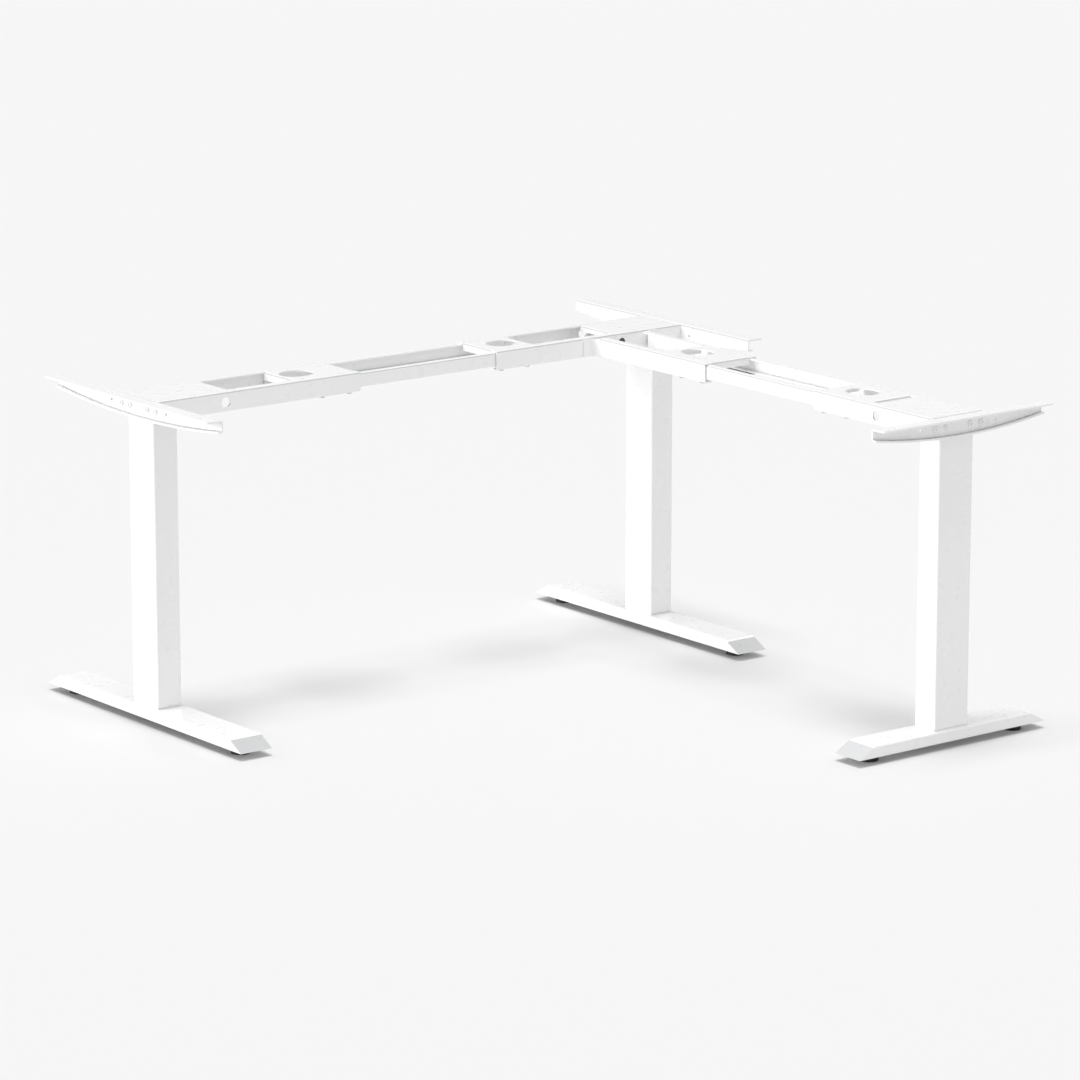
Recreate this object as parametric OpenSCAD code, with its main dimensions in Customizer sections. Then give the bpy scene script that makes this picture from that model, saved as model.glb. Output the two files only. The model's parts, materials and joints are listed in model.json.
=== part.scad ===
// Height adjustable standing desk frame: L-shaped, three telescoping legs, no desktop.
// +X runs from the left leg to the corner leg, +Y to the back, +Z up. Floor is Z = 0.
// Every leg is drawn about its own column: local +X points inboard along its crossbar.

/* [Show] */
// which sub-part to draw

/* [Layout] */
// distance from left column to corner column
main_span = 1133.5; // [1100:0.5:1240]
// distance from corner column forward to right column
return_span = 974; // [940:1:1060]
// sideways offset of the right column from the corner column
return_offset = 121.9; // [120:0.1:135]
// height of the top of the frame at its lowest setting
frame_top = 600; // [598:1:640]

/* [Crossbars] */
// outside width over both rails of a crossbar
bar_w = 122.8; // [116:0.2:130]
// height of the outer end rails
bar_h = 36; // [34:1:38]
// sheet thickness of the outer end rails
bar_t = 2.5; // [2:0.1:3]
// outside bend radius of the outer rails and plates
bar_r = 4; // [3.2:0.1:5]
// width of the rail flanges
flange_w = 17.3; // [15:0.1:19]
// reach of the left end rails inboard of the column
left_reach = 410.5; // [380:0.5:430]
// reach of the corner end rails inboard of the column
corner_reach = 412; // [380:1:430]
// reach of the right end rails inboard of the column
right_reach = 284; // [270:1:300]
// distance from corner column to the open end of the flared return rails
return_reach = 386; // [370:1:400]
// length of the main inner rails
main_inner_l = 571; // [540:1:600]
// length of the return inner rails
return_inner_l = 544; // [530:1:560]
// height of the inner rails
inner_h = 26; // [24:1:28]
// sheet thickness of the inner rails
inner_t = 2.4; // [2:0.1:2.6]
// outside bend radius of the inner rails
inner_r = 3.4; // [3:0.1:4]
// length of the welded bridge plates
bridge_l = 140; // [130:1:144]
// length of the corner bridge plate
corner_bridge_l = 100; // [96:1:110]
// length of the oblong hole in a bridge plate
slot_l = 66; // [58:1:68]
// width of the oblong hole in a bridge plate
slot_w = 54; // [40:1:56]
// radius of the round cable hole in a rail side
cable_hole_r = 9.5; // [6:0.5:10]
// bend radius where the return rails flare onto the main crossbar
flare_r = 14; // [10:1:16]
// length of the flared tabs
tab_l = 12; // [11:1:14]

/* [Columns] */
// column size across the foot
col_w = 52; // [51.6:0.1:52]
// column size along the foot
col_d = 80; // [79:0.5:82]
// column wall
col_t = 2; // [1.8:0.1:2]
// air between one tube and the next, filled by the glides
tube_gap = 2; // [1.9:0.1:2]
// corner radius of the outer column
col_r = 3.5; // [3:0.5:4]
// gap between foot and outer column at the lowest setting
col_gap = 3; // [2.8:0.1:4]
// length of each glide
glide_l = 60; // [40:1:80]
// running clearance at the glides
run_gap = 0.06; // [0.04:0.01:0.1]

/* [Feet] */
// width of a foot
foot_w = 66.6; // [64:0.1:72]
// height of the foot bar
foot_h = 20.6; // [19:0.1:22]
// clearance under the foot bar
foot_clear = 13.4; // [13:0.1:15]
// length of the left and corner feet
foot_l = 623; // [600:1:660]
// length of the right foot
right_foot_l = 440; // [430:1:470]
// how far the foot ends slope back
foot_slant = 38; // [34:1:42]
// wall of the pressed foot
foot_t = 3; // [2.5:0.1:3.2]
// outside radius of the long top edges of a foot
foot_r = 3; // [2:0.5:4]
// levelling pad radius
pad_r = 17; // [14:0.5:20]
// levelling pad height
pad_h = 9; // [8:0.5:10]
// distance from foot end to levelling pad centre
pad_inset = 50; // [48:1:60]
// levelling stud radius
stud_r = 4; // [3.5:0.1:4]

/* [Side brackets] */
// length of the left and corner side brackets
bracket_l = 520; // [500:2:540]
// length of the right side bracket
right_bracket_l = 396; // [380:2:410]
// bracket depth in the middle
bracket_mid = 38; // [37:0.5:40]
// bracket depth at the ends
bracket_end = 22.5; // [20:0.5:24]
// bracket sheet thickness
bracket_t = 3; // [2.5:0.1:3]
// outside bend radius of the bracket
bracket_r = 4.5; // [4:0.5:6]
// width of the top flange
bracket_flange = 33; // [28:1:38]
// width of the rolled lower lip
bracket_lip = 11; // [8:1:12]
// radius of the desktop screw holes
screw_hole_r = 3.5; // [3:0.1:4]
// spacing of the desktop screw holes, left and corner
screw_pitch = 150; // [140:1:160]
// spacing of the desktop screw holes, right
right_screw_pitch = 110; // [100:1:120]

/* [Drive] */
// spindle radius
spindle_r = 7; // [6:0.1:7]
// outside radius of the threaded sleeve
sleeve_r = 11; // [10:0.1:12]
// motor radius
motor_r = 15.5; // [14:0.1:16]
// motor length
motor_l = 92; // [80:1:94]
// length of the motor cover
cover_l = 160; // [150:1:165]

/* [Hidden] */
eps = 0.01;
fit_gap = 0.3;
trim = 5;
// screws
bolt_r = 3;
hole_r = 3.3;
thread_r = 3.05;
head_r = 5.5;
head_h = 3.3;
socket_r = 2;
socket_deep = 1.6;
bolt_z = frame_top - 19;
inner_bolt_y = 28;
outer_bolt_y = 54;
small_hole_y = 87;
small_hole_z = bolt_z + 1;
small_hole_r = 2.5;
desk_screw_in = 11;
web_top_in = bracket_r + 3;
foot_screw_x = 9;
foot_screw_y = 21;
// crossbars
half_w = bar_w / 2;
bar_z = frame_top - bar_h;
slot_half = half_w - flange_w;
bridge_lip = 14;
cable_hole_x = 116;
cable_hole_z = frame_top - 18.5;
clamp_y = half_w - 11;
clamp_ins = [18, 78];
inner_gap = 1.5;
inner_drop = 0.5;
inner_z = frame_top - bar_t - inner_drop - inner_h;
inner_face = half_w - bar_t - inner_gap;
inner_flange = 12;
main_inner_x = -main_span + left_reach - (main_inner_l - (main_span - left_reach - corner_reach)) / 2;
return_inner_lap = 112;
return_inner_x = return_span - right_reach + return_inner_lap - return_inner_l;
flare_x = half_w + bar_t + flare_r;
tab_y = half_w + flare_r;
tab_low = bar_z + 1.5;
tab_high = frame_top - 1.5;
left_slot_in = 99;
corner_slot_in = 59;
right_slot_in = 62;
return_slot_in = 95;
cover_lip = 10;
cover_edge = slot_half - fit_gap;
// columns
half_cw = col_w / 2;
desk_screw_x = -half_cw - bracket_lip - desk_screw_in;
foot_top = foot_clear + foot_h;
plate_t = 3;
base_t = 2.5;
head_z = bar_z + bar_t;
head_half = half_w - bar_r - fit_gap;
head_web_top = frame_top - 6;
head_hole_r = spindle_r + 3;
col_z = foot_top + col_gap;
mid_w = col_w - 2 * col_t - 2 * tube_gap;
mid_d = col_d - 2 * col_t - 2 * tube_gap;
in_w = mid_w - 2 * col_t - 2 * tube_gap;
in_d = mid_d - 2 * col_t - 2 * tube_gap;
mid_z = col_z + 1;
mid_top = head_z - 14;
in_top = mid_top - 14;
nut_block_low = in_top - 20;
nut_block_high = in_top - 4;
sleeve_low = foot_top + 20;
sleeve_top = mid_top - 4;
sleeve_flange_h = 8;
flange_half_w = mid_w / 2 - col_t - 0.1;
flange_half_d = mid_d / 2 - col_t - 0.1;
glide_fit = 0.02;
glide_t = tube_gap - run_gap - glide_fit;
// feet
rib_y = 55;
rib_t = 3;
stud_boss_r = 11;
stud_top = foot_top - foot_t - 2;
stud_hole_top = foot_top - foot_t - 0.5;
stud_fit = 0.05;
pad_cone_h = 3;
pad_cone_in = 5;
end_wall_low = 9;
end_wall_high = 6;
rib_lift = 2;
// drive
gear_top = frame_top - 3.5;
gear_x = 33;
gear_half = 32;
motor_z = frame_top - 19.2;
head_x = gear_x - 2;
gear_lid = 4;
spindle_low = foot_top + 30;
spindle_top = head_z + plate_t + 12;
collar_r = spindle_r + 2;
collar_low = head_z - 6;
bell_l = 12;
tail_l = 4;
tail_r = 4.5;
// footprint
x_min = -main_span - half_cw - bracket_flange;
x_max = right_foot_l / 2 - return_offset;
y_min = -return_span - half_cw - bracket_flange;
y_max = foot_l / 2;
shift_x = -(x_min + x_max) / 2;
shift_y = -(y_min + y_max) / 2;
// colours
white = [0.93, 0.93, 0.93];
black = [0.06, 0.06, 0.06];
steel = [0.62, 0.63, 0.65];
grey = [0.32, 0.33, 0.35];
brass = [0.72, 0.58, 0.3];
nylon = [0.88, 0.88, 0.84];

// ---- placing ----

// drawn about the corner column, then moved so the footprint is centred on the origin
module centred()
  translate([shift_x, shift_y, 0])
    children();

module at_left()
  centred()
    translate([-main_span, 0, 0])
      children();

module at_corner()
  centred()
    rotate([0, 0, 180])
      children();

module at_right()
  centred()
    translate([-return_offset, -return_span, 0])
      rotate([0, 0, 90])
        children();

// local +X runs forward from the corner towards the right leg
module at_return()
  centred()
    translate([-return_offset, 0, 0])
      rotate([0, 0, -90])
        children();

// ---- shapes used by several pieces ----

module rounded(w, d, r) {
  square([w - 2 * r, d], center = true);
  square([w, d - 2 * r], center = true);
  for (x = [-1, 1], y = [-1, 1])
    translate([x * (w / 2 - r), y * (d / 2 - r)])
      circle(r = r, $fn = 32);
}

// rectangle from (x0, y0) to (x1, y1) whose two corners on the x1 side are round
module half_rounded(x0, x1, y0, y1, r) {
  translate([x0, y0])
    square([x1 - x0 - r, y1 - y0]);
  translate([x0, y0 + r])
    square([x1 - x0, y1 - y0 - 2 * r]);
  for (y = [y0 + r, y1 - r])
    translate([x1 - r, y])
      circle(r = r, $fn = 32);
}

// bend of a sheet through a right angle, from +X round to +Y
module quarter_ring(r, t)
  intersection() {
    difference() {
      circle(r = r, $fn = 32);
      circle(r = r - t, $fn = 32);
    }
    square(r);
  }

module tube(w, d, wall, r, z0, z1)
  translate([0, 0, z0])
    difference() {
      linear_extrude(z1 - z0)
        rounded(w, d, r);
      translate([0, 0, -1])
        linear_extrude(z1 - z0 + 2)
          rounded(w - 2 * wall, d - 2 * wall, max(r - wall, 0.6));
    }

module block(x0, x1, y0, y1, z0, z1)
  translate([x0, y0, z0])
    cube([x1 - x0, y1 - y0, z1 - z0]);

// outline in Y and Z, drawn out along X
module along_x(x0, x1)
  translate([x0, 0, 0])
    rotate([90, 0, 90])
      linear_extrude(x1 - x0)
        children();

// outline in X and Z, drawn out along Y
module along_y(y0, y1)
  translate([0, y1, 0])
    rotate([90, 0, 0])
      linear_extrude(y1 - y0)
        children();

module rod(r, z0, z1)
  translate([0, 0, z0])
    cylinder(r = r, h = z1 - z0, $fn = 48);

// rod along local X
module rod_x(r, x0, x1)
  translate([x0, 0, 0])
    rotate([0, 90, 0])
      cylinder(r = r, h = x1 - x0, $fn = 48);

// button head screw pointing down local -Z from its seat at z = 0
module button_screw(r, length)
  union() {
    rod(r, -length, 0.5);
    difference() {
      rod(head_r, 0, head_h);
      rod(socket_r, head_h - socket_deep, head_h + 1);
    }
  }

// oblong hole along local X
module oblong(length, width, depth) {
  cube([length - width, width, depth], center = true);
  for (s = [-1, 1])
    translate([s * (length - width) / 2, 0, 0])
      cylinder(d = width, h = depth, center = true, $fn = 48);
}

// C section with its web on the +Y side
module channel(x0, x1, y0, y1, z0, z1, t, r)
  along_x(x0, x1)
    difference() {
      half_rounded(y0, y1, z0, z1, r);
      half_rounded(y0 - 1, y1 - t, z0 + t, z1 - t, r - t);
    }

// ---- feet ----

module foot_side(half, top_half, z0, z1, width)
  along_x(-width / 2, width / 2)
    polygon([[-half, z0], [half, z0], [top_half, z1], [-top_half, z1]]);

module foot_section(length)
  along_y(-length / 2, length / 2)
    rotate([0, 0, 90])
      half_rounded(foot_clear - 1, foot_top, -foot_w / 2, foot_w / 2, foot_r);

module foot(length) {
  half = length / 2;
  difference() {
    union() {
      difference() {
        intersection() {
          foot_side(half, half - foot_slant, foot_clear, foot_top, foot_w + 2);
          foot_section(length + 2);
        }
        foot_side(half - end_wall_low, half - foot_slant - end_wall_high, foot_clear - eps,
                  foot_top - foot_t, foot_w - 2 * foot_t);
      }
      for (s = [-1, 1])
        translate([0, s * (half - pad_inset), 0])
          rod(stud_boss_r, foot_clear + 1, foot_top - foot_t + eps);
      for (s = [-1, 1])
        translate([0, s * rib_y, 0])
          block(-foot_w / 2 + 1, foot_w / 2 - 1, -rib_t / 2, rib_t / 2, foot_clear + rib_lift,
                foot_top - foot_t + eps);
    }
    for (s = [-1, 1])
      translate([0, s * (half - pad_inset), 0])
        rod(stud_r + stud_fit, foot_clear - 1, stud_hole_top);
    for (x = [-1, 1], y = [-1, 1])
      translate([x * foot_screw_x, y * foot_screw_y, 0])
        rod(hole_r, foot_top - foot_t - 1, foot_top + 1);
  }
}

module pad(length, side)
  translate([0, side * (length / 2 - pad_inset), 0])
    union() {
      rod(pad_r, 0, pad_h - pad_cone_h);
      translate([0, 0, pad_h - pad_cone_h])
        cylinder(r1 = pad_r, r2 = pad_r - pad_cone_in, h = pad_cone_h, $fn = 48);
      rod(stud_r, pad_h - 1, stud_top);
    }

module foot_screws()
  for (x = [-1, 1], y = [-1, 1])
    translate([x * foot_screw_x, y * foot_screw_y, foot_top - foot_t])
      rotate([180, 0, 0])
        button_screw(bolt_r, foot_t + base_t - fit_gap);

// ---- lifting columns ----

module inner_tube() {
  difference() {
    block(-half_cw + 1, half_cw - 1, -col_d / 2 + 1, col_d / 2 - 1, foot_top, foot_top + base_t);
    for (x = [-1, 1], y = [-1, 1])
      translate([x * foot_screw_x, y * foot_screw_y, 0])
        rod(thread_r, foot_top - 1, foot_top + base_t + 1);
  }
  tube(in_w, in_d, col_t, 2.5, foot_top + base_t - eps, in_top);
  // nut block that the sleeve passes through
  difference() {
    block(-in_w / 2 + 1, in_w / 2 - 1, -in_d / 2 + 1, in_d / 2 - 1,
          nut_block_low, nut_block_high);
    rod(sleeve_r + run_gap, nut_block_low - 1, nut_block_high + 1);
  }
}

module middle_tube()
  tube(mid_w, mid_d, col_t, 3, mid_z, mid_top);

module middle_glides() {
  tube(mid_w + 2 * tube_gap - 2 * run_gap, mid_d + 2 * tube_gap - 2 * run_gap,
       glide_t, 2, mid_top - glide_l, mid_top - 2);
  tube(mid_w - 2 * col_t - 2 * glide_fit, mid_d - 2 * col_t - 2 * glide_fit,
       glide_t, 1, mid_z, mid_z + glide_l);
}

module column_glide()
  tube(col_w - 2 * col_t - 2 * glide_fit, col_d - 2 * col_t - 2 * glide_fit,
       glide_t, 1.5, col_z, col_z + glide_l);

module column() {
  tube(col_w, col_d, col_t, col_r, col_z, head_z + eps);
  difference() {
    union() {
      block(-half_cw, head_x, -col_d / 2, col_d / 2, head_z, head_z + plate_t);
      block(-half_cw + bar_t + fit_gap, head_x, -head_half, head_half, head_z, head_z + plate_t);
      block(-half_cw, -half_cw + plate_t, -col_d / 2, col_d / 2, head_z, head_web_top);
    }
    rod(head_hole_r, head_z - 1, head_z + plate_t + 1);
    for (s = [-1, 1])
      translate([0, s * inner_bolt_y, bolt_z])
        rod_x(thread_r, -half_cw - 1, -half_cw + plate_t + 1);
  }
}

module screw_sleeve()
  difference() {
    union() {
      rod(sleeve_r, sleeve_low, sleeve_top);
      block(-flange_half_w, flange_half_w, -flange_half_d, flange_half_d,
            sleeve_top - sleeve_flange_h, sleeve_top);
    }
    rod(spindle_r + run_gap, foot_top, mid_top);
  }

module spindle() {
  rod(spindle_r, spindle_low, spindle_top);
  rod(collar_r, collar_low, head_z + plate_t - fit_gap);
}

module gearbox()
  difference() {
    union() {
      block(-half_cw + plate_t + fit_gap, gear_x - 1, -gear_half, gear_half,
            head_z + plate_t, gear_top - gear_lid);
      block(-half_cw + plate_t + gear_lid, gear_x - gear_lid, -gear_half + gear_lid,
            gear_half - gear_lid, gear_top - gear_lid - 1, gear_top);
    }
    rod(spindle_r + run_gap, head_z, spindle_top + 1);
  }

// can, end bell and tail boss
module motor()
  translate([0, 0, motor_z]) {
    rod_x(motor_r, gear_x - 1, gear_x + motor_l - bell_l);
    rod_x(motor_r - 1.5, gear_x + motor_l - bell_l - 1, gear_x + motor_l - tail_l);
    rod_x(tail_r, gear_x + motor_l - tail_l - 1, gear_x + motor_l);
  }

// sheet between the flanges with its inboard end bent down
module motor_cover() {
  x0 = -half_cw;
  x1 = x0 + cover_l;
  along_y(-cover_edge, cover_edge) {
    translate([x0, frame_top - bar_t])
      square([x1 - bar_r - x0, bar_t]);
    translate([x1 - bar_r, frame_top - bar_r])
      quarter_ring(bar_r, bar_t);
    translate([x1 - bar_t, frame_top - cover_lip])
      square([bar_t, cover_lip - bar_r]);
  }
}

// ---- crossbars ----

// one outer rail, web on the +Y side, from local x0 to x1
module outer_rail(x0, x1)
  channel(x0, x1, half_w - flange_w, half_w, bar_z, frame_top, bar_t, bar_r);

// plate between the rails with both ends bent down and an oblong hole
module bridge(x1, slot_x, length) {
  x0 = x1 - length;
  difference() {
    along_y(-slot_half - eps, slot_half + eps) {
      translate([x0 + bar_r, frame_top - bar_t])
        square([length - 2 * bar_r, bar_t]);
      for (x = [x0, x1 - bar_t])
        translate([x, frame_top - bridge_lip])
          square([bar_t, bridge_lip - bar_r]);
      translate([x1 - bar_r, frame_top - bar_r])
        quarter_ring(bar_r, bar_t);
      translate([x0 + bar_r, frame_top - bar_r])
        rotate(90)
          quarter_ring(bar_r, bar_t);
    }
    translate([slot_x, 0, frame_top])
      oblong(slot_l, slot_w, 3 * bridge_lip);
  }
}

module clamp_holes(reach)
  for (d = clamp_ins, s = [-1, 1])
    translate([reach - d, s * clamp_y, 0])
      rod(thread_r, bar_z - 1, bar_z + bar_t + 1);

module end_rails(reach, slot_x, plate_l) {
  difference() {
    union() {
      for (m = [0, 1])
        mirror([0, m, 0]) {
          outer_rail(-half_cw, reach);
          along_x(-half_cw, -half_cw + bar_t)
            half_rounded(half_w - flange_w, half_w, bar_z, frame_top, bar_r);
        }
      bridge(reach, slot_x, plate_l);
    }
    clamp_holes(reach);
    for (s = [-1, 1])
      translate([0, s * outer_bolt_y, bolt_z])
        rod_x(thread_r, -half_cw - 1, -half_cw + bar_t + 1);
    translate([cable_hole_x, 0, cable_hole_z])
      rotate([90, 0, 0])
        cylinder(r = cable_hole_r, h = bar_w + 2, center = true, $fn = 48);
  }
}

module clamp_screws(reach)
  for (d = clamp_ins, s = [-1, 1])
    translate([reach - d, s * clamp_y, bar_z])
      rotate([180, 0, 0])
        button_screw(bolt_r, inner_z - bar_z - 0.05);

module inner_pair(x0, length)
  for (m = [0, 1])
    mirror([0, m, 0])
      channel(x0, x0 + length, inner_face - inner_flange, inner_face,
              inner_z, inner_z + inner_h, inner_t, inner_r);

// return rail: local X runs forward from the corner column centre line,
// and its near end bends a quarter turn into a tab welded to the main crossbar
module flared_rail() {
  outer_rail(flare_x, return_reach);
  translate([flare_x, tab_y, tab_low])
    rotate([0, 0, 180])
      rotate_extrude(angle = 90, $fn = 64)
        translate([flare_r, 0])
          square([bar_t, tab_high - tab_low]);
  block(half_w, half_w + bar_t, tab_y, tab_y + tab_l, tab_low, tab_high);
}

module return_end() {
  difference() {
    union() {
      for (m = [0, 1])
        mirror([0, m, 0])
          flared_rail();
      bridge(return_reach, return_reach - return_slot_in, bridge_l);
    }
    clamp_holes(return_reach);
  }
}

// ---- side brackets ----

// web and rolled lower lip: an L section turned about the centre of the arc, whose radius is whole
module bracket_web(half) {
  rise = bracket_mid - bracket_end;
  arc_r = round(half * half / (2 * rise));
  turn = 2 * asin(half / arc_r) + 1;
  intersection() {
    translate([-half_cw, 0, frame_top - bracket_mid + arc_r])
      rotate([0, -90, 0])
        rotate([0, 0, 180 - turn / 2])
          rotate_extrude(angle = turn, $fn = 1440) {
            translate([arc_r - bracket_mid - trim, 0])
              square([bracket_mid + trim - bracket_r, bracket_t]);
            translate([arc_r - bracket_t, bracket_r])
              square([bracket_t, bracket_lip - bracket_r]);
            translate([arc_r - bracket_r, bracket_r])
              rotate(-90)
                quarter_ring(bracket_r, bracket_t);
          }
    block(-half_cw - bracket_lip - 1, -half_cw + 1, -half - trim, half + trim,
          frame_top - bracket_mid - 1, frame_top - web_top_in);
  }
}

module bracket_flange_bend(half)
  along_y(-half - trim, half + trim) {
    translate([-half_cw - bracket_flange, frame_top - bracket_t])
      square([bracket_flange - bracket_r, bracket_t]);
    translate([-half_cw - bracket_r, frame_top - bracket_r])
      quarter_ring(bracket_r, bracket_t);
    translate([-half_cw - bracket_t, frame_top - web_top_in])
      square([bracket_t, web_top_in - bracket_r]);
  }

module side_bracket(length, pitch) {
  half = length / 2;
  difference() {
    intersection() {
      union() {
        bracket_web(half);
        bracket_flange_bend(half);
      }
      block(-half_cw - bracket_flange - 1, -half_cw + 1, -half, half,
            frame_top - bracket_mid - 1, frame_top + 1);
    }
    for (y = [-outer_bolt_y, -inner_bolt_y, inner_bolt_y, outer_bolt_y])
      translate([0, y, bolt_z])
        rod_x(hole_r, -half_cw - bracket_t - 1, -half_cw + 1);
    for (s = [-1, 1])
      translate([0, s * small_hole_y, small_hole_z])
        rod_x(small_hole_r, -half_cw - bracket_t - 1, -half_cw + 1);
    for (i = [-1.5, -0.5, 0.5, 1.5])
      translate([desk_screw_x, i * pitch, 0])
        rod(screw_hole_r, frame_top - bracket_t - 1, frame_top + 1);
  }
}

module bracket_bolts()
  for (y = [-outer_bolt_y, -inner_bolt_y, inner_bolt_y, outer_bolt_y])
    translate([-half_cw - bracket_t, y, bolt_z])
      rotate([0, -90, 0])
        button_screw(bolt_r, bracket_t + plate_t);

// ---- left leg ----

module left_foot() color(white) at_left() foot(foot_l);
module left_front_pad() color(black) at_left() pad(foot_l, -1);
module left_back_pad() color(black) at_left() pad(foot_l, 1);
module left_foot_screws() color(steel) at_left() foot_screws();
module left_inner_tube() color(white) at_left() inner_tube();
module left_middle_tube() color(white) at_left() middle_tube();
module left_column() color(white) at_left() column();
module left_column_glide() color(nylon) at_left() column_glide();
module left_middle_glides() color(nylon) at_left() middle_glides();
module left_screw_sleeve() color(brass) at_left() screw_sleeve();
module left_spindle() color(steel) at_left() spindle();
module left_gearbox() color(grey) at_left() gearbox();
module left_motor() color(black) at_left() motor();
module left_motor_cover() color(white) at_left() motor_cover();
module left_end_rails()
  color(white)
    at_left()
      end_rails(left_reach, left_reach - left_slot_in, bridge_l);

module left_side_bracket() color(white) at_left() side_bracket(bracket_l, screw_pitch);
module left_bracket_bolts() color(white) at_left() bracket_bolts();
module left_clamp_screws() color(steel) at_left() clamp_screws(left_reach);

// ---- corner leg ----

module corner_foot() color(white) at_corner() foot(foot_l);
module corner_front_pad() color(black) at_corner() pad(foot_l, 1);
module corner_back_pad() color(black) at_corner() pad(foot_l, -1);
module corner_foot_screws() color(steel) at_corner() foot_screws();
module corner_inner_tube() color(white) at_corner() inner_tube();
module corner_middle_tube() color(white) at_corner() middle_tube();
module corner_column() color(white) at_corner() column();
module corner_column_glide() color(nylon) at_corner() column_glide();
module corner_middle_glides() color(nylon) at_corner() middle_glides();
module corner_screw_sleeve() color(brass) at_corner() screw_sleeve();
module corner_spindle() color(steel) at_corner() spindle();
module corner_gearbox() color(grey) at_corner() gearbox();
module corner_motor() color(black) at_corner() motor();
module corner_motor_cover() color(white) at_corner() motor_cover();
module corner_side_bracket() color(white) at_corner() side_bracket(bracket_l, screw_pitch);
module corner_bracket_bolts() color(white) at_corner() bracket_bolts();

module corner_end_rails()
  color(white)
    at_corner()
      end_rails(corner_reach, corner_reach - corner_slot_in, corner_bridge_l);

module corner_clamp_screws()
  color(steel) {
    at_corner() clamp_screws(corner_reach);
    at_return() clamp_screws(return_reach);
  }

// ---- right leg ----

module right_foot() color(white) at_right() foot(right_foot_l);
module right_front_pad() color(black) at_right() pad(right_foot_l, 1);
module right_back_pad() color(black) at_right() pad(right_foot_l, -1);
module right_foot_screws() color(steel) at_right() foot_screws();
module right_inner_tube() color(white) at_right() inner_tube();
module right_middle_tube() color(white) at_right() middle_tube();
module right_column() color(white) at_right() column();
module right_column_glide() color(nylon) at_right() column_glide();
module right_middle_glides() color(nylon) at_right() middle_glides();
module right_screw_sleeve() color(brass) at_right() screw_sleeve();
module right_spindle() color(steel) at_right() spindle();
module right_gearbox() color(grey) at_right() gearbox();
module right_motor() color(black) at_right() motor();
module right_motor_cover() color(white) at_right() motor_cover();
module right_end_rails()
  color(white)
    at_right()
      end_rails(right_reach, right_reach - right_slot_in, bridge_l);

module right_side_bracket() color(white) at_right() side_bracket(right_bracket_l, right_screw_pitch);
module right_bracket_bolts() color(white) at_right() bracket_bolts();
module right_clamp_screws() color(steel) at_right() clamp_screws(right_reach);

// ---- rails between the legs ----

module main_inner_rails()
  color(white)
    centred()
      inner_pair(main_inner_x, main_inner_l);

module return_inner_rails()
  color(white)
    at_return()
      inner_pair(return_inner_x, return_inner_l);

module return_end_rails()
  color(white)
    at_return()
      return_end();

left_foot();
left_front_pad();
left_back_pad();
left_foot_screws();
left_inner_tube();
left_middle_tube();
left_column();
left_column_glide();
left_middle_glides();
left_screw_sleeve();
left_spindle();
left_gearbox();
left_motor();
left_motor_cover();
left_end_rails();
left_side_bracket();
left_bracket_bolts();
left_clamp_screws();
corner_foot();
corner_front_pad();
corner_back_pad();
corner_foot_screws();
corner_inner_tube();
corner_middle_tube();
corner_column();
corner_column_glide();
corner_middle_glides();
corner_screw_sleeve();
corner_spindle();
corner_gearbox();
corner_motor();
corner_motor_cover();
corner_end_rails();
corner_side_bracket();
corner_bracket_bolts();
corner_clamp_screws();
right_foot();
right_front_pad();
right_back_pad();
right_foot_screws();
right_inner_tube();
right_middle_tube();
right_column();
right_column_glide();
right_middle_glides();
right_screw_sleeve();
right_spindle();
right_gearbox();
right_motor();
right_motor_cover();
right_end_rails();
right_side_bracket();
right_bracket_bolts();
right_clamp_screws();
main_inner_rails();
return_inner_rails();
return_end_rails();
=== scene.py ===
"""Looks of the L-shaped standing desk frame: white powder-coated steel on black levelling feet."""

import json
import math

import bmesh
import bpy
from mathutils import Matrix, Vector


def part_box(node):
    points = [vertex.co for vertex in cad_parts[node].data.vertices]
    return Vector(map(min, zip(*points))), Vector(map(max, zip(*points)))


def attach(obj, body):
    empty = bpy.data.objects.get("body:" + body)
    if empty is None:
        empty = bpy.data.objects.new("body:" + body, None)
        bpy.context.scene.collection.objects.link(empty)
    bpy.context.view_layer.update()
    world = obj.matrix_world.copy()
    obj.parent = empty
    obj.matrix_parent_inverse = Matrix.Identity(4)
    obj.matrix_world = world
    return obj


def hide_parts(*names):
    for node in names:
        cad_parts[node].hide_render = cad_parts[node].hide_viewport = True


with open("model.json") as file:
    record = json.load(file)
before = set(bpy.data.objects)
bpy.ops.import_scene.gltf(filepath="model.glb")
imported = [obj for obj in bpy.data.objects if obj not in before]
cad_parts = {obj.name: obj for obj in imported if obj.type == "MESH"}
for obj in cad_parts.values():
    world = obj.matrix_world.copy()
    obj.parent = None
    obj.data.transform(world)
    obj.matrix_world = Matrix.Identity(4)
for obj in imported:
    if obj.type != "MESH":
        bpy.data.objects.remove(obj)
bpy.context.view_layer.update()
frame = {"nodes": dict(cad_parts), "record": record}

LEGS = ("left", "corner", "right")
MM = 0.001
TINY = 1e-6

# ---------------------------------------------------------------- camera, floor, light

CAMERA_PLACE = (-5.4812, -7.0695, 2.4212)
CAMERA_PITCH = 13.23
CAMERA_YAW = 37.804
CAMERA_LENS = 170.35
FLOOR_SIZE = 400.0
BACKDROP = 0.956
FLOOR_WHITE = 0.93
DOME_BASE = 0.4
DOME_TOP = 0.3


def make_camera():
    data = bpy.data.cameras.new("camera")
    data.lens = CAMERA_LENS
    data.sensor_width = 36.0
    data.clip_start = 0.1
    data.clip_end = 1000.0
    cam = bpy.data.objects.new("camera", data)
    bpy.context.scene.collection.objects.link(cam)
    cam.location = CAMERA_PLACE
    cam.rotation_euler = (math.radians(90 - CAMERA_PITCH), 0, math.radians(-CAMERA_YAW))
    bpy.context.scene.camera = cam


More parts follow.
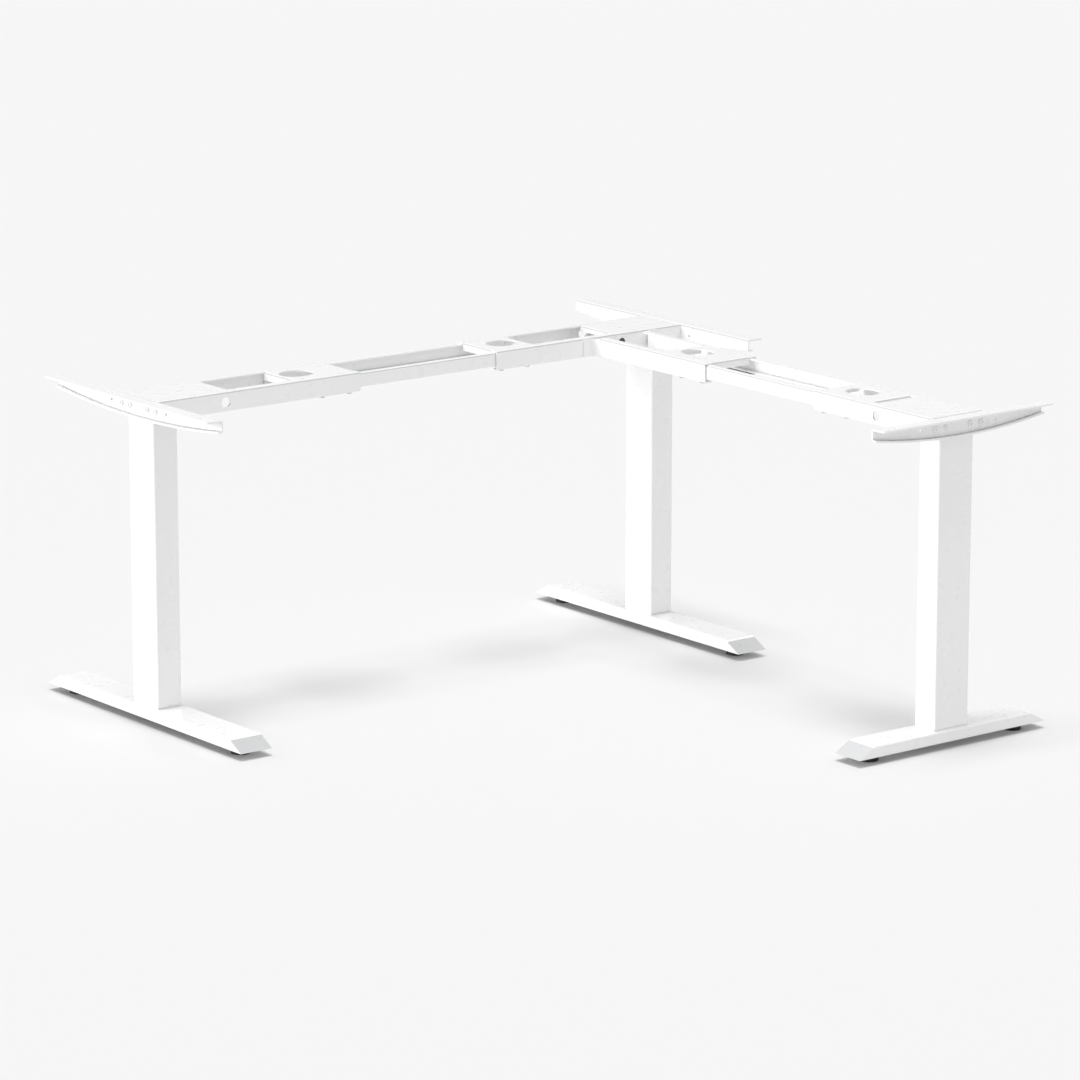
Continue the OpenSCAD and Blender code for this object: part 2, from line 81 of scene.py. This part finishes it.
def make_sun(name, towards, strength, angle):
    """A soft sun whose light travels in the direction towards."""
    data = bpy.data.lights.new(name, "SUN")
    data.energy = strength
    data.angle = math.radians(angle)
    sun = bpy.data.objects.new(name, data)
    sun.rotation_euler = Vector(towards).to_track_quat("-Z", "Y").to_euler()
    bpy.context.scene.collection.objects.link(sun)
    return sun


def spare(sun, thing):
    """Keeps a light off one thing."""
    spared = bpy.data.collections.new(f"{sun.name}_spares")
    spared.objects.link(thing)
    spared.collection_objects[0].light_linking.link_state = "EXCLUDE"
    sun.light_linking.receiver_collection = spared


def make_world(base, top):
    """A studio dome, brighter overhead and plain for the camera."""
    world = bpy.data.worlds.new("studio")
    world.use_nodes = True
    tree = world.node_tree
    tree.nodes.clear()
    where = add(tree, "ShaderNodeTexCoord").outputs["Generated"]
    height = math_node(tree, "MAXIMUM", dot(tree, where, Vector((0, 0, 1))), 0.0)
    level = math_node(tree, "MULTIPLY_ADD", math_node(tree, "MULTIPLY", height, height), top, base)
    light = add(tree, "ShaderNodeBackground")
    tree.links.new(level, light.inputs["Strength"])
    seen = add(tree, "ShaderNodeBackground")
    seen.inputs["Strength"].default_value = BACKDROP
    for shade in (light, seen):
        shade.inputs["Color"].default_value = (1, 1, 1, 1)
    mix = add(tree, "ShaderNodeMixShader")
    tree.links.new(add(tree, "ShaderNodeLightPath").outputs["Is Camera Ray"], mix.inputs[0])
    tree.links.new(light.outputs[0], mix.inputs[1])
    tree.links.new(seen.outputs[0], mix.inputs[2])
    tree.links.new(mix.outputs[0], add(tree, "ShaderNodeOutputWorld").inputs["Surface"])
    bpy.context.scene.world = world


def make_floor():
    half = FLOOR_SIZE / 2
    mesh = bpy.data.meshes.new("floor")
    corners = [(-half, -half, 0), (half, -half, 0), (half, half, 0), (-half, half, 0)]
    mesh.from_pydata(corners, [], [(0, 1, 2, 3)])
    floor = bpy.data.objects.new("floor", mesh)
    mat = bpy.data.materials.new("floor")
    mat.use_nodes = True
    shade = mat.node_tree.nodes["Principled BSDF"]
    shade.inputs["Base Color"].default_value = (FLOOR_WHITE, FLOOR_WHITE, FLOOR_WHITE, 1)
    shade.inputs["Roughness"].default_value = 1.0
    shade.inputs["Specular IOR Level"].default_value = 0.0
    mesh.materials.append(mat)
    bpy.context.scene.collection.objects.link(floor)
    return floor


# ---------------------------------------------------------------- small node helpers

def add(tree, kind, **settings):
    """A new node with its settings."""
    node = tree.nodes.new(kind)
    for key, value in settings.items():
        setattr(node, key, value)
    return node


def feed(tree, socket, value):
    """Puts a number or another node's output into a socket."""
    if isinstance(value, bpy.types.NodeSocket):
        tree.links.new(value, socket)
    else:
        socket.default_value = value


def math_node(tree, operation, *values, clamp=False):
    node = add(tree, "ShaderNodeMath", operation=operation, use_clamp=clamp)
    for socket, value in zip(node.inputs, values):
        feed(tree, socket, value)
    return node.outputs[0]


def dot(tree, a, b):
    node = add(tree, "ShaderNodeVectorMath", operation="DOT_PRODUCT")
    feed(tree, node.inputs[0], a)
    feed(tree, node.inputs[1], b)
    return node.outputs["Value"]


def ramp(tree, value, low, high, to_low, to_high):
    """value taken smoothly from low..high to to_low..to_high, held at the ends."""
    node = add(tree, "ShaderNodeMapRange")
    node.interpolation_type = "SMOOTHSTEP"
    for name, number in (("From Min", low), ("From Max", high), ("To Min", to_low), ("To Max", to_high)):
        node.inputs[name].default_value = number
    feed(tree, node.inputs["Value"], value)
    return node.outputs["Result"]


def noise(tree, where, scale, detail=3.0, rough=0.5):
    node = add(tree, "ShaderNodeTexNoise")
    node.inputs["Scale"].default_value = scale
    node.inputs["Detail"].default_value = detail
    node.inputs["Roughness"].default_value = rough
    tree.links.new(where, node.inputs["Vector"])
    return node.outputs["Fac"]


def tint(tree, amount, colour_a, colour_b):
    """Between two colours by amount."""
    node = add(tree, "ShaderNodeMix", data_type="RGBA")
    feed(tree, node.inputs["Factor"], amount)
    for socket, colour in ((node.inputs[6], colour_a), (node.inputs[7], colour_b)):
        feed(tree, socket, colour if isinstance(colour, bpy.types.NodeSocket) else (*colour, 1))
    return node.outputs[2]


def bump(tree, height, strength, depth, under=None):
    node = add(tree, "ShaderNodeBump")
    node.inputs["Strength"].default_value = strength
    node.inputs["Distance"].default_value = depth
    tree.links.new(height, node.inputs["Height"])
    if under is not None:
        tree.links.new(under, node.inputs["Normal"])
    return node.outputs["Normal"]


def edges(tree, radius):
    """About 1 on edges sharper than radius and 0 on flats."""
    node = add(tree, "ShaderNodeBevel", samples=4)
    node.inputs["Radius"].default_value = radius
    flat = add(tree, "ShaderNodeNewGeometry").outputs["Normal"]
    same = dot(tree, node.outputs["Normal"], flat)
    return ramp(tree, same, 0.80, 0.985, 1.0, 0.0)


# grey toward which painted shade darkens the white on bends and slanted ends, and which sharp edges are also
# darkened a little toward
PAINTED_SHADE_GREY = (0.5, 0.505, 0.51)
# upward part of the normal at which the painted shade begins, is full, starts to fade and has gone
BEND_SHADE_BAND = (0.15, 0.5, 0.86, 0.985)
SLANT_SHADE_BAND = (0.8, 0.86, 0.9, 0.95)


def material(name):
    mat = bpy.data.materials.new(name)
    mat.use_nodes = True
    tree = mat.node_tree
    where = add(tree, "ShaderNodeTexCoord").outputs["Object"]
    return mat, tree, tree.nodes["Principled BSDF"], where


# ---------------------------------------------------------------- materials

def between(tree, value, rise_from, rise_to, fall_from, fall_to):
    """1 where value lies in a band, 0 outside it."""
    rise = ramp(tree, value, rise_from, rise_to, 0.0, 1.0)
    return math_node(tree, "MULTIPLY", rise, ramp(tree, value, fall_from, fall_to, 1.0, 0.0))


def white_powder(name, band=None):
    """Glossy powder coat with faint cloudiness and orange peel. Painted shade darkens surfaces whose upward
    slant falls in band, and sharp edges are a little darker too, in patches."""
    mat, tree, shade, where = material(name)
    cloud = ramp(tree, noise(tree, where, 7.0, 3.0), 0.3, 0.7, 0.0, 1.0)
    coat = tint(tree, cloud, (0.918, 0.92, 0.922), (0.928, 0.928, 0.927))
    patchy = ramp(tree, noise(tree, where, 160.0, 4.0), 0.25, 0.6, 0.5, 1.0)
    # sharp edges, in patches: darkened a little below and made a little rougher
    edge_patches = math_node(tree, "MULTIPLY", edges(tree, 0.4 * MM), patchy)
    wear_and_painted_shade = math_node(tree, "MULTIPLY", edge_patches, 0.3)
    # painted shade: surfaces whose upward slant falls in band are darkened toward the painted shade grey
    if band:
        split = add(tree, "ShaderNodeSeparateXYZ")
        tree.links.new(add(tree, "ShaderNodeNewGeometry").outputs["Normal"], split.inputs[0])
        wear_and_painted_shade = math_node(tree, "MAXIMUM", wear_and_painted_shade, between(tree, split.outputs["Z"], *band), clamp=True)
    tree.links.new(tint(tree, wear_and_painted_shade, coat, PAINTED_SHADE_GREY), shade.inputs["Base Color"])
    gloss = ramp(tree, noise(tree, where, 40.0, 2.0), 0.3, 0.7, 0.27, 0.3)
    gloss = math_node(tree, "MULTIPLY_ADD", edge_patches, 0.2, gloss)
    tree.links.new(gloss, shade.inputs["Roughness"])
    peel = bump(tree, noise(tree, where, 520.0, 2.0), 0.05, 0.1 * MM)
    grain = bump(tree, noise(tree, where, 3600.0, 2.0), 0.04, 0.03 * MM, peel)
    tree.links.new(grain, shade.inputs["Normal"])
    shade.inputs["Coat Weight"].default_value = 0.8
    shade.inputs["Coat Roughness"].default_value = 0.06
    return mat


def black_rubber():
    mat, tree, shade, where = material("black_rubber")
    dust = ramp(tree, noise(tree, where, 90.0, 5.0), 0.45, 0.75, 0.0, 1.0)
    tree.links.new(tint(tree, dust, (0.012, 0.012, 0.013), (0.03, 0.029, 0.027)), shade.inputs["Base Color"])
    tree.links.new(ramp(tree, dust, 0.0, 1.0, 0.52, 0.78), shade.inputs["Roughness"])
    grain = bump(tree, noise(tree, where, 2200.0, 3.0), 0.25, 0.08 * MM)
    tree.links.new(grain, shade.inputs["Normal"])
    return mat


def metal(name, colour, dull, rough, grain_scale, thread=0.0):
    """Bare or plated metal, with patches of a duller colour and, on a thread, its turns."""
    mat, tree, shade, where = material(name)
    patch = ramp(tree, noise(tree, where, 70.0, 5.0, 0.6), 0.35, 0.7, 0.0, 1.0)
    tree.links.new(tint(tree, patch, colour, dull), shade.inputs["Base Color"])
    tree.links.new(ramp(tree, patch, 0.0, 1.0, rough, rough + 0.2), shade.inputs["Roughness"])
    shade.inputs["Metallic"].default_value = 1.0
    normal = bump(tree, noise(tree, where, grain_scale, 2.0), 0.12, 0.05 * MM)
    if thread:
        turns = add(tree, "ShaderNodeTexWave", wave_type="BANDS", bands_direction="Z")
        turns.inputs["Scale"].default_value = 2 * math.pi / (20 * thread)
        turns.inputs["Distortion"].default_value = 0.0
        tree.links.new(where, turns.inputs["Vector"])
        normal = bump(tree, turns.outputs["Fac"], 0.9, 0.8 * MM, normal)
    tree.links.new(normal, shade.inputs["Normal"])
    return mat


def moulded(name, colour, scuffed, rough, grain_scale, grain):
    """Moulded or cast surface with a fine texture and lighter scuffs on its edges."""
    mat, tree, shade, where = material(name)
    scuff = math_node(tree, "MULTIPLY", edges(tree, 0.8 * MM), noise(tree, where, 240.0, 4.0))
    cloud = ramp(tree, noise(tree, where, 30.0, 4.0), 0.35, 0.65, 0.0, 0.35)
    wear_and_painted_shade = math_node(tree, "ADD", scuff, cloud, clamp=True)
    tree.links.new(tint(tree, wear_and_painted_shade, colour, scuffed), shade.inputs["Base Color"])
    tree.links.new(ramp(tree, cloud, 0.0, 0.35, rough, rough + 0.12), shade.inputs["Roughness"])
    texture = bump(tree, noise(tree, where, grain_scale, 2.0), grain, 0.1 * MM)
    tree.links.new(texture, shade.inputs["Normal"])
    return mat


def make_materials():
    mats = {
        "white_powder": white_powder("white_powder"),
        # copies of the white with painted shade, one on bends and one on slanted foot ends
        "white_shaded_bends": white_powder("white_shaded_bends", BEND_SHADE_BAND),
        "white_foot": white_powder("white_foot", SLANT_SHADE_BAND),
        "black_rubber": black_rubber(),
        "zinc": metal("zinc", (0.66, 0.67, 0.69), (0.5, 0.5, 0.49), 0.26, 1500.0),
        "brass": metal("brass", (0.74, 0.54, 0.25), (0.5, 0.36, 0.17), 0.25, 1200.0, thread=3 * MM),
        "steel": metal("steel", (0.56, 0.565, 0.58), (0.36, 0.35, 0.33), 0.24, 1300.0, thread=4 * MM),
        "nylon": moulded("nylon", (0.82, 0.81, 0.76), (0.7, 0.69, 0.65), 0.42, 900.0, 0.1),
        "housing": moulded("housing", (0.05, 0.051, 0.054), (0.13, 0.13, 0.135), 0.48, 1500.0, 0.3),
        "motor_black": moulded("motor_black", (0.02, 0.02, 0.022), (0.1, 0.1, 0.105), 0.3, 700.0, 0.12),
    }
    return mats


# ---------------------------------------------------------------- mesh helpers

def ring_radius(form, radius, turn):
    """Distance out at an angle: a circle, a hexagon across its flats, or a rim with finger grips."""
    if form == "hex":
        part = (turn % (math.pi / 3)) - math.pi / 6
        return radius / math.cos(part)
    if form == "grip":
        return radius * (0.965 + 0.035 * abs(math.cos(12 * turn)) ** 0.5)
    if form == "flute":
        return radius * (0.93 + 0.07 * (math.cos(10 * turn) > 0.2))
    return radius


def revolve(bm, profile, steps=48, at=Matrix.Identity(4)):
    """Closed solid from rings of steps points: profile holds (radius, height, form) from end to end."""
    rings = []
    for radius, height, form in profile:
        ring = []
        for i in range(steps):
            turn = 2 * math.pi * (i + 0.5) / steps
            out = ring_radius(form, radius, turn)
            ring.append(bm.verts.new(at @ Vector((out * math.cos(turn), out * math.sin(turn), height))))
        rings.append(ring)
    for low, high in zip(rings, rings[1:]):
        for i in range(steps):
            j = (i + 1) % steps
            bm.faces.new((low[i], low[j], high[j], high[i]))
    bm.faces.new(list(reversed(rings[0])))
    bm.faces.new(rings[-1])


def frame_at(place, out):
    """Matrix that takes +Z to the direction out and the origin to place."""
    return Matrix.Translation(place) @ Vector(out).to_track_quat("Z", "Y").to_matrix().to_4x4()


def make_piece(name, bm, slot, body, replaced=()):
    """Mesh object from bm, in its material, riding on its body in place of the named CAD nodes."""
    bmesh.ops.recalc_face_normals(bm, faces=bm.faces[:])
    mesh = bpy.data.meshes.new(name)
    bm.to_mesh(mesh)
    bm.free()
    for face in mesh.polygons:
        face.use_smooth = True
    mesh.set_sharp_from_angle(angle=math.radians(34))
    mesh.materials.append(mats[slot])
    piece = bpy.data.objects.new(name, mesh)
    bpy.context.scene.collection.objects.link(piece)
    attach(piece, body)
    if replaced:
        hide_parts(*replaced)
    return piece


def solids(node):
    """The points of each separate solid of a CAD node."""
    bm = bmesh.new()
    bm.from_mesh(frame["nodes"][node].data)
    bmesh.ops.remove_doubles(bm, verts=bm.verts[:], dist=TINY)
    left = set(bm.verts)
    found = []
    while left:
        reach = [left.pop()]
        group = []
        while reach:
            vert = reach.pop()
            group.append(vert.co.copy())
            for edge in vert.link_edges:
                other = edge.other_vert(vert)
                if other in left:
                    left.remove(other)
                    reach.append(other)
        found.append(group)
    bm.free()
    return sorted(found, key=lambda g: tuple(round(c, 5) for c in g[0]))


def span(points):
    low = Vector([min(p[i] for p in points) for i in range(3)])
    high = Vector([max(p[i] for p in points) for i in range(3)])
    return low, high


# ---------------------------------------------------------------- screws

SCREW_R = 3.0 * MM
HEAD_R = 5.5 * MM
HEAD_H = 3.3 * MM
SOCKET = 2.0 * MM
SOCKET_DEEP = 1.9 * MM
THREAD_PITCH = 1.0 * MM


def screw_profile(length):
    """Button head screw, tip at -length and head above 0."""
    rows = [(SCREW_R * 0.72, -length, ""), (SCREW_R * 0.95, -length + 0.8 * MM, "")]
    turns = max(1, int((length - 1.6 * MM) / THREAD_PITCH))
    for i in range(turns):
        z = -length + 0.8 * MM + (i + 0.5) * THREAD_PITCH
        rows += [(SCREW_R * 0.86, z, ""), (SCREW_R * 0.97, z + THREAD_PITCH / 2, "")]
    rows += [(SCREW_R, -0.15 * MM, ""), (SCREW_R, 0.02 * MM, ""), (HEAD_R - 0.25 * MM, 0.02 * MM, "")]
    rows += [(HEAD_R, 0.25 * MM, ""), (HEAD_R, 0.55 * MM, "")]
    for i in range(1, 8):
        a = math.pi / 2 * i / 8
        out = HEAD_R * (0.55 + 0.45 * math.cos(a))
        rows.append((out, 0.55 * MM + (HEAD_H - 0.55 * MM) * math.sin(a), ""))
    rows += [(HEAD_R * 0.55, HEAD_H, ""), (SOCKET + 0.25 * MM, HEAD_H, "hex")]
    rows.append((SOCKET, HEAD_H - 0.2 * MM, "hex"))
    rows += [(SOCKET, HEAD_H - SOCKET_DEEP, "hex"), (0.3 * MM, HEAD_H - SOCKET_DEEP - 0.5 * MM, "")]
    return rows


def add_screws(bm, node):
    """A button head screw in the place of each solid of a CAD node of screws."""
    for points in solids(node):
        low, high = span(points)
        size = high - low
        axis = min(range(3), key=lambda i: size[i])
        middle = (low + high) / 2
        wide = [p[axis] for p in points if max(abs(p[i] - middle[i]) for i in range(3) if i != axis) > 4 * MM]
        out = Vector((0, 0, 0))
        out[axis] = 1.0 if sum(wide) / len(wide) > middle[axis] else -1.0
        seat = middle.copy()
        seat[axis] = (high[axis] if out[axis] > 0 else low[axis]) - out[axis] * HEAD_H
        revolve(bm, screw_profile(size[axis] - HEAD_H), at=frame_at(seat, out))


def make_screws():
    for leg in LEGS:
        for part, slot, body in (
            ("bracket_bolts", "white_powder", "frame"),
            ("clamp_screws", "zinc", "frame"),
            ("foot_screws", "zinc", "base"),
        ):
            node = f"{leg}_{part}"
            bm = bmesh.new()
            add_screws(bm, node)
            make_piece(f"{node}_detail", bm, slot, f"{leg}_{body}", [node])


# ---------------------------------------------------------------- levelling feet

def make_pads():
    for leg in LEGS:
        for side in ("front", "back"):
            node = f"{leg}_{side}_pad"
            low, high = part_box(node)
            centre = Vector(((low.x + high.x) / 2, (low.y + high.y) / 2, 0))
            radius = (high.x - low.x) / 2
            at = Matrix.Translation(centre)
            bm = bmesh.new()
            sole = [(radius - 2.4 * MM, 0, ""), (radius - 0.7 * MM, 0.15 * MM, ""), (radius, 0.9 * MM, "")]
            rim = [(radius, 1.6 * MM, "grip"), (radius, 5.2 * MM, "grip"), (radius * 0.985, 5.8 * MM, "")]
            crown = [(radius - 1.5 * MM, 6.4 * MM, ""), (radius - 5 * MM, 8.4 * MM, "")]
            crown.append((8.2 * MM, 9.0 * MM, ""))
            revolve(bm, sole + rim + crown, 96, at)
            make_piece(f"{node}_rubber", bm, "black_rubber", f"{leg}_{side}_pad", [node])
            bm = bmesh.new()
            nut = [(6.2 * MM, 8.6 * MM, "hex"), (6.5 * MM, 9.0 * MM, "hex"), (6.5 * MM, 12.2 * MM, "hex")]
            nut += [(6.2 * MM, 12.6 * MM, "hex"), (4.4 * MM, 12.7 * MM, "")]
            turns = int((high.z - 13.5 * MM) / THREAD_PITCH)
            for i in range(turns):
                z = 12.9 * MM + i * THREAD_PITCH
                nut += [(3.45 * MM, z, ""), (3.95 * MM, z + THREAD_PITCH / 2, "")]
            nut.append((3.2 * MM, high.z, ""))
            revolve(bm, nut, 48, at)
            make_piece(f"{node}_stud", bm, "zinc", f"{leg}_{side}_pad")


# ---------------------------------------------------------------- drive

def make_motors():
    """Motor cans along their crossbars, with crimped ends, a fluted end bell and a tail boss."""
    for leg in LEGS:
        node = f"{leg}_motor"
        low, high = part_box(node)
        size = high - low
        axis = 0 if size.x > size.y else 1
        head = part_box(f"{leg}_gearbox")
        out = Vector((0, 0, 0))
        out[axis] = 1.0 if (low + high)[axis] > (head[0] + head[1])[axis] else -1.0
        start = (low + high) / 2
        start[axis] = low[axis] if out[axis] > 0 else high[axis]
        length, radius = size[axis], size.z / 2
        rows = [(radius - 2 * MM, 0.0, ""), (radius - 0.4 * MM, 0.4 * MM, ""), (radius, 1.2 * MM, "")]
        rows += [(radius, 3.5 * MM, ""), (radius - 0.9 * MM, 4.1 * MM, ""), (radius - 0.9 * MM, 5.0 * MM, "")]
        rows += [(radius - 0.3 * MM, 5.6 * MM, ""), (radius - 0.3 * MM, length - 19 * MM, "")]
        rows += [(radius, length - 18.4 * MM, ""), (radius, length - 15.5 * MM, "")]
        rows += [(radius - 0.8 * MM, length - 14.6 * MM, ""), (radius - 1.4 * MM, length - 13.4 * MM, "")]
        rows.append((radius - 1.4 * MM, length - 12.8 * MM, "flute"))
        rows.append((radius - 1.4 * MM, length - 8 * MM, "flute"))
        rows += [(radius - 1.6 * MM, length - 7 * MM, ""), (radius - 3.2 * MM, length - 4.6 * MM, "")]
        rows += [(6.4 * MM, length - 4.0 * MM, ""), (4.9 * MM, length - 3.6 * MM, "")]
        rows.append((4.5 * MM, length - 3 * MM, ""))
        rows += [(4.5 * MM, length - 0.5 * MM, ""), (3.9 * MM, length, "")]
        bm = bmesh.new()
        revolve(bm, rows, 80, frame_at(start, out))
        make_piece(f"{node}_can", bm, "motor_black", f"{leg}_frame", [node])


def add_block(bm, low, high, radius):
    """Box with rounded upright corners and softened top and bottom edges."""
    made = bmesh.ops.create_cube(bm, size=1.0)
    size = Vector(high) - Vector(low)
    centre = (Vector(high) + Vector(low)) / 2
    bmesh.ops.scale(bm, vec=size, verts=made["verts"])
    bmesh.ops.translate(bm, vec=centre, verts=made["verts"])
    rims = {e for v in made["verts"] for e in v.link_edges}
    tall = [e for e in rims if abs(e.verts[0].co.z - e.verts[1].co.z) > size.z / 2]
    wide = bmesh.ops.bevel(bm, geom=tall, offset=radius, segments=5, affect="EDGES", profile=0.5)
    faces = {f for v in wide["verts"] for f in v.link_faces}
    top = max(v.co.z for f in faces for v in f.verts)
    ends = {e for f in faces for e in f.edges
            if min(v.co.z for v in e.verts) > top - TINY or max(v.co.z for v in e.verts) < low[2] + TINY}
    bmesh.ops.bevel(bm, geom=list(ends), offset=radius * 0.3, segments=3, affect="EDGES", profile=0.5)


GEAR_SCREW_R = 2.6 * MM


def make_gearboxes():
    """Cast housing in two halves with a parting flange, side ribs and corner screws."""
    for leg in LEGS:
        node = f"{leg}_gearbox"
        low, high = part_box(node)
        bm = bmesh.new()
        parting = low.z + 0.45 * (high.z - low.z)
        inset = 1.6 * MM
        shell_low = Vector((low.x + inset, low.y + inset, low.z))
        shell_high = Vector((high.x - inset, high.y - inset, high.z - 4 * MM))
        add_block(bm, shell_low, shell_high, 6 * MM)
        add_block(bm, (low.x, low.y, parting - 2 * MM), (high.x, high.y, parting + 2 * MM), 7 * MM)
        lid = 6 * MM
        lid_low = (low.x + lid, low.y + lid, high.z - 5 * MM)
        lid_high = (high.x - lid, high.y - lid, high.z)
        add_block(bm, lid_low, lid_high, 5 * MM)
        for i in range(1, 6):
            for axis in (0, 1):
                at = low[axis] + (high[axis] - low[axis]) * i / 6
                rib_low, rib_high = Vector(low), Vector(high)
                rib_low[axis], rib_high[axis] = at - 0.9 * MM, at + 0.9 * MM
                rib_low[1 - axis] += 0.4 * MM
                rib_high[1 - axis] -= 0.4 * MM
                rib_low.z, rib_high.z = low.z + 2 * MM, parting
                add_block(bm, rib_low, rib_high, 0.7 * MM)
        make_piece(f"{node}_housing", bm, "housing", f"{leg}_frame", [node])
        bm = bmesh.new()
        for sx in (low.x + 6.5 * MM, high.x - 6.5 * MM):
            for sy in (low.y + 6.5 * MM, high.y - 6.5 * MM):
                head = [(GEAR_SCREW_R, -4 * MM, ""), (GEAR_SCREW_R, 0.9 * MM, "")]
                head.append((GEAR_SCREW_R * 0.9, 1.3 * MM, ""))
                head += [(1.5 * MM, 1.35 * MM, ""), (1.3 * MM, 1.3 * MM, "hex"), (1.2 * MM, 0.3 * MM, "hex")]
                revolve(bm, head, 36, Matrix.Translation((sx, sy, shell_high.z)))
        make_piece(f"{node}_lid_screws", bm, "zinc", f"{leg}_frame")


# ---------------------------------------------------------------- welds

BEAD_R = 1.3 * MM
BEAD_PITCH = 2.2 * MM


def add_bead(bm, start, end, radius=BEAD_R):
    """A straight weld bead with its overlapping ripples and rounded ends."""
    line = Vector(end) - Vector(start)
    count = max(6, int(line.length / (BEAD_PITCH / 4)))
    rows = []
    for i in range(count + 1):
        s = i / count * line.length
        near = min(s, line.length - s) / (2 * radius)
        taper = math.sin(min(1.0, 0.25 + near) * math.pi / 2)
        ripple = 1 - 0.13 * ((s / BEAD_PITCH) % 1.0)
        rows.append((radius * taper * ripple, s, ""))
    revolve(bm, rows, 12, frame_at(start, line))


COL_HALF_W = 25.6 * MM
COL_HALF_D = 39.6 * MM
COL_CORNER = 4.0 * MM


def make_column_welds():
    """A bead across the inboard face of each column, near its top."""
    for leg in LEGS:
        low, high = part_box(f"{leg}_middle_tube")
        centre = (low + high) / 2
        across_x = (high.x - low.x) < (high.y - low.y)
        half_x, half_y = (COL_HALF_W, COL_HALF_D) if across_x else (COL_HALF_D, COL_HALF_W)
        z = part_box(f"{leg}_end_rails")[0].z + 2.5 * MM - 0.3 * MM
        bm = bmesh.new()
        inboard = Vector((0, 0, 0))
        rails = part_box(f"{leg}_end_rails")
        run = 0 if across_x else 1
        inboard[run] = 1.0 if (rails[0] + rails[1])[run] / 2 > centre[run] else -1.0
        half = Vector((half_x, half_y, 0))
        face = centre + Vector((inboard.x * half.x, inboard.y * half.y, 0))
        side = Vector((0, 1, 0)) if run == 0 else Vector((1, 0, 0))
        reach = side * (half.dot(side) - COL_CORNER)
        face.z = z
        add_bead(bm, face - reach, face + reach)
        make_piece(f"{leg}_column_weld", bm, "white_powder", f"{leg}_frame")


# where the beads start and end, inboard of the rails' outer end, and how far they are off the middle
PLATE_BEADS = ((22 * MM, 47 * MM), (93 * MM, 118 * MM))
PLATE_BEAD_OUT = 43.9 * MM
PLATE_BEAD_R = 1.1 * MM
RAIL_T = 2.5 * MM


def make_plate_welds():
    """Four beads along the inner edges of the rail flanges, at each bridge plate."""
    for name, node, body in (
        ("left", "left_end_rails", "left_frame"),
        ("corner", "corner_end_rails", "corner_frame"),
        ("right", "right_end_rails", "right_frame"),
        ("return", "return_end_rails", "corner_frame"),
    ):
        low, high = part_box(node)
        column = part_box(f"{name if name != 'return' else 'corner'}_column")
        run = 0 if name in ("left", "corner") else 1
        towards = 1.0 if (low + high)[run] > (column[0] + column[1])[run] else -1.0
        outer = high[run] if towards > 0 else low[run]
        wide = 1 - run
        middle = (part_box("main_inner_rails") if run == 0 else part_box("return_inner_rails"))
        centre = (middle[0] + middle[1])[wide] / 2
        bm = bmesh.new()
        for s in (-1, 1):
            for a, b in PLATE_BEADS:
                start = Vector((0, 0, high.z - RAIL_T))
                end = start.copy()
                start[run] = outer - towards * a
                end[run] = outer - towards * b
                start[wide] = end[wide] = centre + s * PLATE_BEAD_OUT
                add_bead(bm, start, end, PLATE_BEAD_R)
        make_piece(f"{name}_plate_welds", bm, "white_powder", body)


# ---------------------------------------------------------------- CAD nodes

def dress_nodes():
    slots = {part["node"]: part["material_slot"] for part in frame["record"]["subparts"]}
    for name, obj in frame["nodes"].items():
        obj.data.materials.clear()
        # rails, brackets and covers take the white with painted shade on their bends, feet the white with
        # painted shade on their slanted ends
        bent = name.endswith(("_rails", "_bracket", "_cover"))
        foot = name.endswith("_foot")
        look = "white_shaded_bends" if bent else "white_foot" if foot else slots[name]
        obj.data.materials.append(mats[look])
        if foot:
            weld = obj.modifiers.new("weld", "WELD")
            weld.merge_threshold = 0.01 * MM
            bevel = obj.modifiers.new("soft_edges", "BEVEL")
            bevel.width = 0.9 * MM
            bevel.segments = 3
            bevel.limit_method = "ANGLE"
            bevel.angle_limit = math.radians(35)
            even = obj.modifiers.new("even_normals", "WEIGHTED_NORMAL")
            even.keep_sharp = False


bpy.context.scene.view_settings.view_transform = "Standard"
make_camera()
make_world(DOME_BASE, DOME_TOP)
floor = make_floor()
make_sun("overhead", (0.07, 0.02, -1.0), 1.4, 22)
spare(make_sun("fill", (0.0, 0.0, -1.0), 1.0, 130), floor)
spare(make_sun("key", (0.93, -0.25, -0.3), 1.7, 30), floor)
mats = make_materials()
dress_nodes()
make_screws()
make_pads()
make_motors()
make_gearboxes()
make_column_welds()
make_plate_welds()
